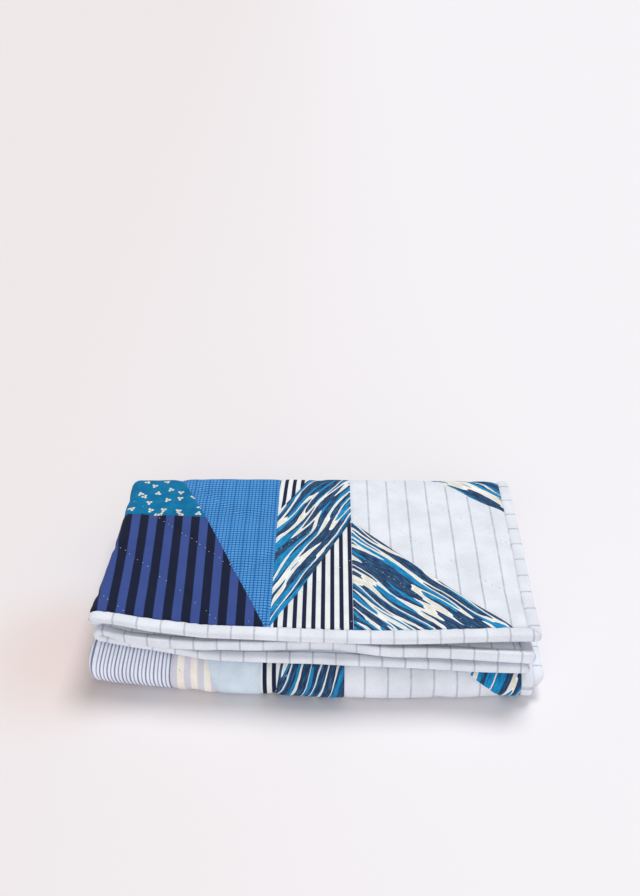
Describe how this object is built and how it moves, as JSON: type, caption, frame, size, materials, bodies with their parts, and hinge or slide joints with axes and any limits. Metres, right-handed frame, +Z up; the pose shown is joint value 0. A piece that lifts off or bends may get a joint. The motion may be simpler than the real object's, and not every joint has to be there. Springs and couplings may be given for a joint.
{
  "type": "folded patchwork quilt",
  "caption": "Baby-size patchwork quilt with a sewn binding, folded into a flat oblong stack of layers that rests on a surface.",
  "frame": {"origin": "middle of the stack's footprint, on the surface that it rests on", "axes": "+X to the right along the bound front edges, +Y to the back bend, +Z up"},
  "size_m": [0.442, 0.293, 0.083],
  "materials": {
    "patchwork": "matte pieced cotton",
    "binding": "matte striped cotton"
  },
  "bodies": {
    "root": {"quilt": "patchwork", "binding_near": "binding", "binding_far": "binding", "binding_side_top": "binding", "binding_side_under": "binding"}
  },
  "joints": []
}
